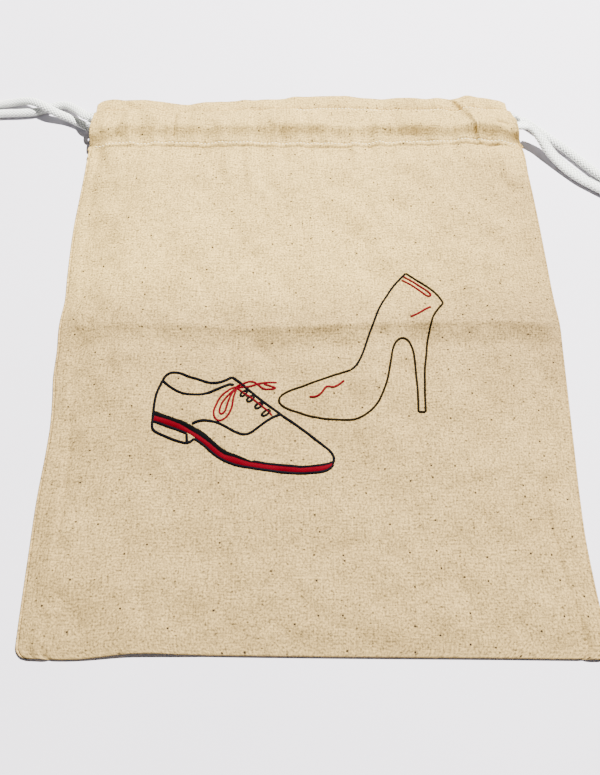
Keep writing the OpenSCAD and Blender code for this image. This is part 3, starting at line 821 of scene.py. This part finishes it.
def make_cloth(name, node, halves, uv_v):
    """A sheet of cloth in two halves. halves holds the outside's grid on the left and on the right, each
    from its edge to the middle, and uv_v how far along the cloth each row is. The cloth's thickness lies
    under that grid."""
    left, right = halves
    whole = np.concatenate([left, right[:, -2::-1]], axis=1)
    normals = grid_normals(whole)
    middle = left.shape[1] - 1
    rows = whole.shape[0]
    distances = column_distances()
    flat_x = np.concatenate([distances - HALF_W, HALF_W - distances[-2::-1]])
    for half, side, columns in (("left", -1, slice(0, middle + 1)), ("right", 1, slice(middle, None))):
        outside, normal = whole[:, columns], normals[:, columns]
        inside = outside - PLY * normal
        count = outside.shape[1]
        shape = Shape()
        i, k = np.meshgrid(np.arange(rows - 1), np.arange(count - 1), indexing="ij")
        corner = (i * count + k).reshape(-1)
        under = rows * count
        top = np.stack([corner, corner + 1, corner + count + 1, corner + count], -1)
        bottom = top[:, ::-1] + under
        rim = border_loop(rows, count)
        after = np.roll(rim, -1)
        sides = np.stack([after, rim, rim + under, after + under], -1)
        uvs = np.stack(np.broadcast_arrays(flat_x[None, columns], uv_v[:, None]), -1).reshape(-1, 2)
        points = np.concatenate([outside.reshape(-1, 3), inside.reshape(-1, 3)])
        shape.add(points, np.concatenate([top, bottom, sides]), uvs=np.concatenate([uvs, uvs]))
        flat_normals = np.concatenate([normal.reshape(-1, 3), -normal.reshape(-1, 3)])
        first, second, fourth = (points[sides[:, k]] for k in (0, 1, 3))
        rim_normals = unit(np.cross(second - first, fourth - first))
        corners = np.concatenate([flat_normals[top].reshape(-1, 3), flat_normals[bottom].reshape(-1, 3),
                                  np.repeat(rim_normals, 4, axis=0)])
        piece = make_piece(f"{name}_{half}", node, shape, "cotton_cloth", corners)
        gather(piece)


def border_loop(rows, count):
    """The grid's border points in order, anticlockwise seen from the outside."""
    first = np.arange(count)
    right = np.arange(1, rows) * count + count - 1
    last = (rows - 1) * count + np.arange(count - 2, -1, -1)
    left = np.arange(rows - 2, 0, -1) * count
    return np.concatenate([first, right, last, left])


def gather(piece):
    """Bake the piece's placement into its mesh."""
    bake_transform(piece)


def panel_rows():
    near = [0, 0.1, 0.25, 0.45, 0.7, 1.0, 1.5, 2.2, 3.0, 4.0, 5.2, 6.5]
    return BOTTOM_Y + np.array(near + list(np.linspace(8, HEM_Y - BOTTOM_Y, 236)))


def make_panels():
    s, rows = column_distances(), panel_rows()
    v = rows[:, None]
    fronts = [cloth_point(side, s, v, front_height(side, s, v)) for side in (-1, 1)]
    make_cloth("front_panel_cloth", "front_panel", fronts, rows)
    backs = [cloth_point(side, s, v, back_height(side, s, v), True)[::-1] for side in (-1, 1)]
    make_cloth("back_panel_cloth", "back_panel", backs, 2 * BOTTOM_Y - rows[::-1])


def hem_path():
    """The way that the cloth takes through a hem: v, 0 on the outer ply to 1 on the inner one, and the lift
    of the turned-in edge, which goes back between the two plies past the inner one's fold."""
    out = np.concatenate([np.linspace(HEM_Y, HIGH_ROW_Y, 46), np.linspace(HIGH_ROW_Y, TOP_Y - 1.6, 14)[1:]])
    angle = np.linspace(0, math.pi, 11)[1:-1]
    back = out[::-1][:-1]
    turn = np.linspace(0, math.pi, 7)
    start = HEM_Y + PLY
    v = np.concatenate([out, out[-1] + 0.9 * np.sin(angle), back, start - PLY * np.sin(turn),
                        np.linspace(start, start + TURN_IN, 6)[1:]])
    ply = np.concatenate([0 * out, (1 - np.cos(angle)) / 2, 0 * back + 1, 0 * turn + 1, np.ones(5)])
    lift = np.concatenate([0 * out, 0 * angle, 0 * back, PLY * (1 - np.cos(turn)), np.full(5, 2 * PLY)])
    return v, ply, lift


def make_casings():
    v, ply, lift = (a[:, None] for a in hem_path())
    s = column_distances()[None, :]
    reach = arc_length(np.stack([v[:, 0], (HEM_T + DOME / 2) * ply[:, 0]], -1))

    def plies(side, back):
        x = cloth_x(side, s, v)
        thickness = HEM_T + dome(x, v, BACK_LANES if back else FRONT_LANES, back) + header_lift(v)
        if back:
            return cloth_point(side, s, v, back_height(side, s, v) + thickness * ply - lift, True)[::-1]
        return cloth_point(side, s, v, front_height(side, s, v) - thickness * ply + lift)

    fronts, backs = [[plies(side, back) for side in (-1, 1)] for back in (False, True)]
    make_cloth("front_casing_cloth", "front_casing", fronts, HEM_Y + reach)
    make_cloth("back_casing_cloth", "back_casing", backs, (HEM_Y + reach)[::-1])


# ---- Sewing ----

def surface_point(side, s, v, raised=0.0, back=False):
    z = back_height(side, s, v) if back else front_height(side, s, v)
    return cloth_point(side, s, v, z + raised, back)


def make_stitch_row(place, v, back):
    """One row of lockstitches across a casing, the same on the hem's outside and inside."""
    half_length = 0.725
    count = int((HALF_W - 3) / STITCH_PITCH)
    for half, side in (("left", -1), ("right", 1)):
        shape = Shape()
        draw = np.random.default_rng(31 + side + int(v))
        for inner in (False, True):
            centre = HALF_W - (np.arange(count) + 0.5) * STITCH_PITCH + draw.uniform(-0.1, 0.1, count)
            drift = v + draw.uniform(-0.12, 0.12, count)
            if back:
                raised = HEM_T + 0.06 if inner else -0.02
            else:
                raised = -HEM_T - 0.16 if inner else 0.02
            start, end = (surface_point(side, centre + way * half_length, drift, raised, back)
                          for way in (1, -1))
            up = (0, 0, -1.0 if inner != back else 1.0)
            half_t, bow = (0.15, 0.05) if back and not inner else (0.3, 0.2)
            add_threads(shape, start, end, up, 0.4, half_t, bow)
        piece = make_piece(f"{place}_stitches_{half}", place + "_stitching", shape, "sewing_thread")
        gather(piece)


def make_seam_stitching(name, side):
    """The seam that joins front and back along one side, seen as a fine line of thread in the turned edge."""
    v = np.arange(BOTTOM_Y + CORNER_R, HEM_Y, STITCH_PITCH)
    lift = bottom_lift(side * HALF_W, v)
    start, end = (cloth_point(side, 0.25, v + up, seam_z(v + up) + lift) for up in (0, 1.9))
    shape = Shape()
    add_threads(shape, start, end, (side * 1.0, 0, 0), 0.22, 0.2, 0.05)
    gather(make_piece(name + "_thread", name, shape, "sewing_thread"))


def allowance_point(side, across, v, z):
    """A point of the seam allowance inside the bag. across is its distance from the side edge."""
    return cloth_point(side, across, v, back_height(side, across, v) + PLY + 0.1 + z)


def make_allowance(side, name):
    """The two turned-in edges of the cloth inside the bag, pressed flat, from the seam to their free edge."""
    low, high = node_box(name)
    inner, outer = HALF_W - min(abs(low[0]), abs(high[0])), SEAM_GROOVE
    v = np.linspace(low[1], high[1], 160)[:, None]
    ripple = ripples(41 + side, 22)
    turn = np.linspace(0.1, 0.9, 5)
    top = np.concatenate([np.linspace(outer, inner, 14), np.full(5, inner), np.linspace(inner, outer, 14)])
    z = np.concatenate([np.full(14, 2 * PLY), 2 * PLY * (1 - turn), np.zeros(14)])
    bulge = np.concatenate([np.zeros(14), 0.35 * np.sin(math.pi * turn), np.zeros(14)])
    wave = 0.15 * (1 + ripple(top, v)) * smoothstep(top / 6)
    points = allowance_point(side, top + bulge, v, z + wave)
    rows, columns = points.shape[:2]
    if side > 0:
        points = points[:, ::-1]
    shape = Shape()
    uvs = np.stack(np.broadcast_arrays(top, v), -1).reshape(-1, 2)
    ring = np.ascontiguousarray(points.reshape(-1, 3))
    shape.add(ring, ring_quads(rows, columns), end_caps(rows, columns), uvs)
    piece = make_piece(name + "_cloth", name, shape, "cotton_cloth")
    gather(piece)
    return inner, low[1], high[1]


def make_overlock(side, name, inner, low_v, high_v):
    """Overlock threads wrapped round the allowance's free edge."""
    v = np.arange(low_v + 1, high_v - 1, STITCH_PITCH)
    depth, lift, up = 3.2, 2 * PLY + 0.35, (0, 0, 1.0)

    def at(inward, along, height):
        return allowance_point(side, inner + 0.3 - inward, v + along, height)

    edge, deep = at(0, 0, lift), at(depth, 0.5, lift)
    chain = [at(depth, along, lift + 0.1) for along in (0.4, 0.4 + STITCH_PITCH)]
    shape = Shape()
    add_threads(shape, edge, deep, up, 0.2, 0.2, 0.1)
    add_threads(shape, deep, at(0, STITCH_PITCH, lift), up, 0.2, 0.2, 0.1)
    add_threads(shape, *chain, up, 0.25, 0.2, 0.1)
    add_threads(shape, edge, at(-0.1, 0, -0.02), (-side * 1.0, 0, 0), 0.2, 0.2, 0.1)
    gather(make_piece(name + "_thread", name, shape, "sewing_thread"))


# ---- Embroidery ----

SHOE_LINES = [
    [(-46.1, -34), (-49.1, -35.9), (-51.8, -37.4), (-54.8, -38.1), (-58.6, -38), (-64.5, -36.1),
     (-70, -34.2), (-76.6, -31.2), (-82.7, -31.8), (-86, -36)],
    [(-86, -36), (-80, -41), (-73, -44.7), (-66, -45.3), (-61, -44.6), (-54.6, -41.9), (-48.6, -39),
     (-46.4, -38.1), (-44.8, -39)],
    [(-86, -36), (-88.4, -43.5), (-89.3, -51), (-89.6, -62), (-89.5, -65.2), (-88.3, -66.9), (-84.7, -68.7),
     (-79.7, -70.9), (-74.7, -72.9), (-69.7, -74.4), (-67.7, -73.6), (-65.4, -71.5)],
    [(-46.1, -34), (-42.2, -36.7), (-37.4, -41.1), (-31.6, -46), (-25.8, -50.6), (-17.9, -56.7),
     (-11.5, -61.2), (-4.5, -66.5), (2.4, -71.9), (7.2, -75.9), (10.3, -78.8), (11.7, -81.6), (11.9, -83.8),
     (10.8, -85.6)],
    [(-67.3, -63), (-64.2, -61.3), (-60.7, -60.6), (-56.5, -61), (-53, -61.9), (-48.7, -64.1),
     (-44.4, -66.7), (-40.1, -68.4), (-37.3, -68.8), (-34.5, -67.8), (-31.1, -65.3), (-27, -62.1),
     (-22.1, -58.6), (-17.9, -56.7)],
    [(-69.9, -68.7), (-69.4, -74)],
    [(-89, -61.3), (-80.9, -64.2), (-73, -67.2), (-69.9, -68.7)],
    [(-65.6, -71.6), (-60, -75.2), (-56.4, -78.4), (-52.1, -81.8), (-49.2, -83.6), (-45, -85.5),
     (-39.5, -87.1), (-32, -88.4), (-25, -89.4), (-18, -90.2), (-11, -90.7), (-4.6, -90.9), (2.2, -90.7),
     (5.6, -90.2), (9.1, -88.8), (11.5, -85.9)],
    [(-33, -84.3), (-25.2, -85.6), (-18.3, -86.4), (-11.5, -86.9), (-4.6, -87.2), (2.2, -86.9), (7.7, -86),
     (11.2, -84.8)],
]
SOLE_TOP = [
    (-89.1, -57.5), (-85.5, -58.7), (-81.2, -60.1), (-76.8, -61.8), (-73.2, -63.4), (-69.6, -65.4),
    (-65.9, -67.6), (-62.3, -69.9), (-58.7, -72.4), (-55.1, -75.3), (-51.5, -78.2), (-48, -80.5),
    (-43.8, -81.6), (-39.6, -83.1), (-35.5, -84.4), (-30.6, -85.4), (-25.2, -86.1), (-18.3, -86.8),
    (-11.4, -87.2), (-4.6, -87.4), (2.2, -87.1), (7, -86.3), (10.8, -85),
]
SOLE_BOTTOM = [
    (-89, -60.9), (-85.2, -62), (-80.9, -63.7), (-76.6, -65.2), (-72.3, -66.9), (-68.7, -68.6),
    (-65.8, -70.5), (-62.9, -72.4), (-60, -74.7), (-56.4, -77.7), (-52.8, -80.8), (-49.3, -83),
    (-45.1, -84.9), (-40.9, -86.4), (-35.4, -87.5), (-28.5, -88.6), (-21.7, -89.5), (-14.9, -90.1),
    (-8, -90.4), (-1.2, -90.5), (3.6, -90.1), (7, -89.2), (10.6, -87),
]
WELT_TOP = [
    (-89.3, -54.6), (-85.7, -56.1), (-81.3, -58), (-77, -59.6), (-72.6, -61.1), (-69, -62.9),
    (-65.4, -64.8), (-61.8, -66.6), (-58.2, -69.5), (-54.5, -72.8), (-50.9, -76), (-46.7, -78.6),
    (-42.5, -80.4), (-39, -81.8), (-35.5, -83.3), (-32, -84.5),
]
WELT_BOTTOM = [
    (-89.1, -58.1), (-85.5, -59.2), (-81.2, -60.6), (-76.8, -62.3), (-73.2, -63.9), (-69.6, -65.9),
    (-65.9, -68.1), (-62.3, -70.4), (-58.7, -72.9), (-55.1, -75.8), (-51.5, -78.7), (-48, -81),
    (-43.8, -82.1), (-39.6, -83.5), (-35.5, -84.8), (-32, -85.4),
]
LACES = [
    [(-43.4, -40.1), (-45.9, -40.7), (-48.1, -42.5), (-50.7, -44.6), (-52.9, -47.2), (-54.2, -50.1),
     (-55.4, -53.7), (-55.6, -56.5), (-54.8, -59.1), (-52.6, -60.7), (-50.4, -59.9), (-48.2, -58.3),
     (-46.5, -55.3), (-45.3, -52.1), (-45, -48.9), (-44.6, -45.6), (-43.5, -42.5), (-43.4, -40.3)],
    [(-44.3, -41.5), (-46.9, -44.2), (-49.1, -46.8), (-51.2, -49.7), (-52.2, -52.5), (-52.5, -55.3),
     (-52.1, -56.7), (-50.4, -56.3), (-49.1, -54.5), (-48.3, -51.3), (-47.5, -48.5), (-46.6, -46),
     (-45.8, -44), (-43.6, -41.1)],
    [(-43.6, -40.7), (-40.5, -40.3), (-37.5, -40.4), (-34.4, -39.8), (-31.4, -38.5), (-28, -37.7),
     (-24.1, -37.2), (-20.1, -37.3)],
    [(-43.6, -39.9), (-41.3, -38.9), (-39.4, -38.4), (-37.6, -37.6), (-34.9, -37), (-32.6, -37.7),
     (-30.6, -39.1), (-28.3, -41), (-26, -41.6), (-22.5, -41.4), (-20.4, -41), (-22.2, -40.1),
     (-24.9, -39.1), (-27.6, -38.4)],
    [(-43.6, -40.3), (-41.2, -42.1), (-38.9, -44.2), (-36.6, -45.6), (-34.2, -47.3), (-31.5, -49.3),
     (-28.8, -51.5), (-26.1, -53.8), (-24.2, -55.6), (-22.7, -57.8)],
]
# The two ends of each eyelet's oval of thread
EYELETS = [
    ((-40.9, -46.2), (-37.2, -42.6)), ((-37.1, -49.4), (-33, -45.6)), ((-32.5, -53.2), (-28.1, -49.7)),
    ((-28.5, -58), (-23.8, -54)),
]
PUMP_THROAT = [
    (58.7, 35.6), (51.7, 28), (45.5, 18.5), (40.7, 9.6), (37, 0), (34, -7.5), (31.3, -15.5), (29.2, -21),
    (26, -26.8), (22.8, -29.8),
]
PUMP_LINES = [
    [(22.8, -29.8), (14, -32.6), (4.5, -36.3), (-4, -39.4), (-12.5, -42.6), (-17.3, -45.4), (-19, -48.4),
     (-17.3, -51.4), (-12.5, -54.1), (-5.5, -56.4), (2, -58.2), (11, -59.6), (20.5, -60), (26.5, -59),
     (32.7, -55.3), (37.7, -49.5), (41.2, -42.3), (43.9, -34.5), (46.2, -24), (48, -15.7), (50.4, -10.8),
     (54, -8.5), (57.6, -9.9), (59.5, -14.5), (60.3, -23), (60.5, -34), (60.5, -45), (60.1, -55.6)],
    [(60.1, -55.6), (64.2, -55.7)],
    [(64.2, -55.7), (64.5, -45), (65.8, -29.5), (67.8, -17), (70, -5.7), (73, 4.8), (79.9, 14.4)],
    [(79.9, 14.4), (76.8, 19.9), (69.8, 27.3), (58.7, 35.6)],
]
PUMP_TRIM = [
    [(55.8, 31), (61, 27.8), (65.7, 24.3), (68.8, 21), (71.1, 19), (73.1, 19.6), (71.8, 22), (69.6, 24.3),
     (64.7, 28.5), (57.2, 33.3)],
    [(59.2, 4), (64.4, 6.5), (68.5, 9.3), (72.2, 11.3)],
    [(-1.5, -46.2), (1.8, -46.5), (4.9, -44.9), (6.9, -42.3), (8.5, -40.2), (12.2, -40.7), (16, -38.6),
     (18.7, -36.2)],
]


def on_front(points, raised=0.0):
    """Points (x, y) laid on the front of the bag, raised above the cloth."""
    points = np.asarray(points, float)
    x, y = points[:, 0], points[:, 1]
    out = np.empty((len(points), 3))
    for side in (-1, 1):
        here = x * side >= 0
        width = half_width(side, y[here])
        s = HALF_W * (1 - np.abs(x[here]) / width)
        out[here] = np.stack([x[here], y[here], front_height(side, s, y[here]) + raised], -1)
    return out


def along_path(path, place):
    """The points at the distances place along a flat path."""
    reach = arc_length(path)
    return np.stack([np.interp(place, reach, path[:, k]) for k in (0, 1)], -1)


def add_stitched_line(shape, points, half_w, pitch, length, slant, seed):
    """A line of overlapping stitches along the smooth curve through points, each turned a little."""
    path = smooth_path(points, 0.25)
    whole = arc_length(path)[-1]
    count = max(1, round(whole / pitch))
    draw = np.random.default_rng(seed)
    middle = (np.arange(count) + 0.5) * whole / count
    a, b = (along_path(path, np.clip(middle + way * length / 2, 0, whole)) for way in (-1, 1))
    way = unit(b - a)
    out = np.stack([-way[:, 1], way[:, 0]], -1) * (slant + draw.uniform(-0.06, 0.06, count))[:, None]
    lift = draw.uniform(0, 0.05, count)[:, None] * (0, 0, 1)
    add_threads(shape, on_front(a - out, 0.06) + lift, on_front(b + out, 0.06) + lift, (0, 0, 1.0),
                half_w, 0.26, 0.16)


def add_satin(shape, upper, lower, pitch, seed):
    """Satin stitch: threads side by side across the band between two curves."""
    top, bottom = smooth_path(upper, 0.2), smooth_path(lower, 0.2)
    count = round(arc_length(top)[-1] / pitch)
    share = (np.arange(count) + 0.5) / count
    draw = np.random.default_rng(seed)
    a, b = (along_path(path, np.clip(share + lean, 0, 1) * arc_length(path)[-1])
            for path, lean in ((top, 0.006), (bottom, -0.006)))
    out = unit(a - b) * draw.uniform(-0.05, 0.28, count)[:, None]
    inward = unit(a - b) * draw.uniform(-0.05, 0.28, count)[:, None]
    starts, ends = on_front(b - inward, 0.08), on_front(a + out, 0.08)
    add_threads(shape, starts, ends, (0, 0, 1.0), pitch * 0.62, 0.24, 0.22)


def eyelet_ovals():
    ovals = []
    for low, high in EYELETS:
        middle, arm = (np.array(low) + high) / 2, (np.array(high) - low) / 2
        wide = unit(np.array([-arm[1], arm[0]])) * 1.25
        angle = np.linspace(0, 2 * math.pi, 11)[:, None]
        ovals.append(middle + arm * np.cos(angle) + wide * np.sin(angle))
    return ovals


def make_bands():
    """The shoe's satin bands."""
    for node, slot, top, bottom, seed in (("shoe_welt", "black_thread", WELT_TOP, WELT_BOTTOM, 120),
                                          ("shoe_sole", "red_thread", SOLE_TOP, SOLE_BOTTOM, 121)):
        shape = Shape()
        add_satin(shape, top, bottom, 0.36, seed)
        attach(make_piece(node + "_thread", node, shape, slot), "root")


def make_lines():
    """The stitched lines: curves, the thread's half width, its stitches' pitch, length and slant, and a seed."""
    for node, slot, curves, half_w, pitch, length, slant, seed in (
            ("shoe_outline", "navy_thread", SHOE_LINES, 0.76, 1.1, 2.6, 0.12, 100),
            ("shoe_laces", "red_thread", LACES, 0.58, 1.0, 2.1, 0.12, 130),
            ("shoe_eyelets", "black_thread", eyelet_ovals(), 0.7, 1.0, 1.9, 0.1, 140),
            ("pump_throat_line", "black_thread", [PUMP_THROAT], 0.64, 1.1, 2.3, 0.1, 160),
            ("pump_outline", "olive_thread", PUMP_LINES, 0.62, 1.1, 2.3, 0.1, 170),
            ("pump_trim", "red_thread", PUMP_TRIM, 0.6, 1.0, 2.1, 0.1, 180)):
        shape = Shape()
        for k, points in enumerate(curves):
            add_stitched_line(shape, points, half_w, pitch, length, slant, seed + k)
        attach(make_piece(node + "_thread", node, shape, slot), "root")


# ---- The whole model ----

materials = {
    "cotton_cloth": cotton_material(),
    "white_cord": cord_material(),
    "sewing_thread": thread_material("sewing_thread", (0.60, 0.48, 0.25), (0.84, 0.73, 0.47), 0.6, 0.1),
    "navy_thread": thread_material("navy_thread", (0.0009, 0.0009, 0.0015), (0.0023, 0.0024, 0.0042)),
    "black_thread": thread_material("black_thread", (0.001, 0.001, 0.0012), (0.0035, 0.0033, 0.0035)),
    "red_thread": thread_material("red_thread", (0.040, 0.0002, 0.0014), (0.112, 0.0006, 0.0058)),
    "olive_thread": thread_material("olive_thread", (0.0030, 0.0019, 0.0006), (0.009, 0.0056, 0.0018)),
}

make_camera()
make_strand("left_cord_front_strand", LEFT_FRONT_ROUTE, "left_cord")
make_strand("left_cord_back_strand", LEFT_BACK_ROUTE, "left_cord")
make_strand("right_cord_front_strand", RIGHT_FRONT_ROUTE, "right_cord", wide=1.28, flat=0.84)
make_strand("right_cord_back_strand", RIGHT_BACK_ROUTE, "right_cord")
make_run("left_cord_front_run", -1, FRONT_LEFT_LANE, FRONT_LANE_Z, "left_cord")
make_run("left_cord_back_run", -1, BACK_LEFT_LANE, BACK_LANE_Z, "left_cord")
make_run("right_cord_front_run", 1, FRONT_RIGHT_LANE, FRONT_LANE_Z, "right_cord")
make_run("right_cord_back_run", 1, BACK_RIGHT_LANE, BACK_LANE_Z, "right_cord")
make_loop("left_cord_loop", 1, FRONT_LEFT_LANE, BACK_LEFT_LANE, "left_cord")
make_loop("right_cord_loop", -1, FRONT_RIGHT_LANE, BACK_RIGHT_LANE, "right_cord")
make_knot("left_cord_knot", LEFT_KNOT, 180, "left_cord")
make_knot("right_cord_knot", RIGHT_KNOT, -24, "right_cord")

make_panels()
make_casings()
for place in ("front", "back"):
    make_stitch_row(place + "_hem", LOW_ROW_Y, place == "back")
    make_stitch_row(place + "_header", HIGH_ROW_Y, place == "back")
for side, name in ((-1, "left"), (1, "right")):
    make_seam_stitching(name + "_seam_stitching", side)
    free_edge = make_allowance(side, name + "_seam_allowance")
    make_overlock(side, name + "_overlock", *free_edge)
make_bands()
make_lines()
make_stage()
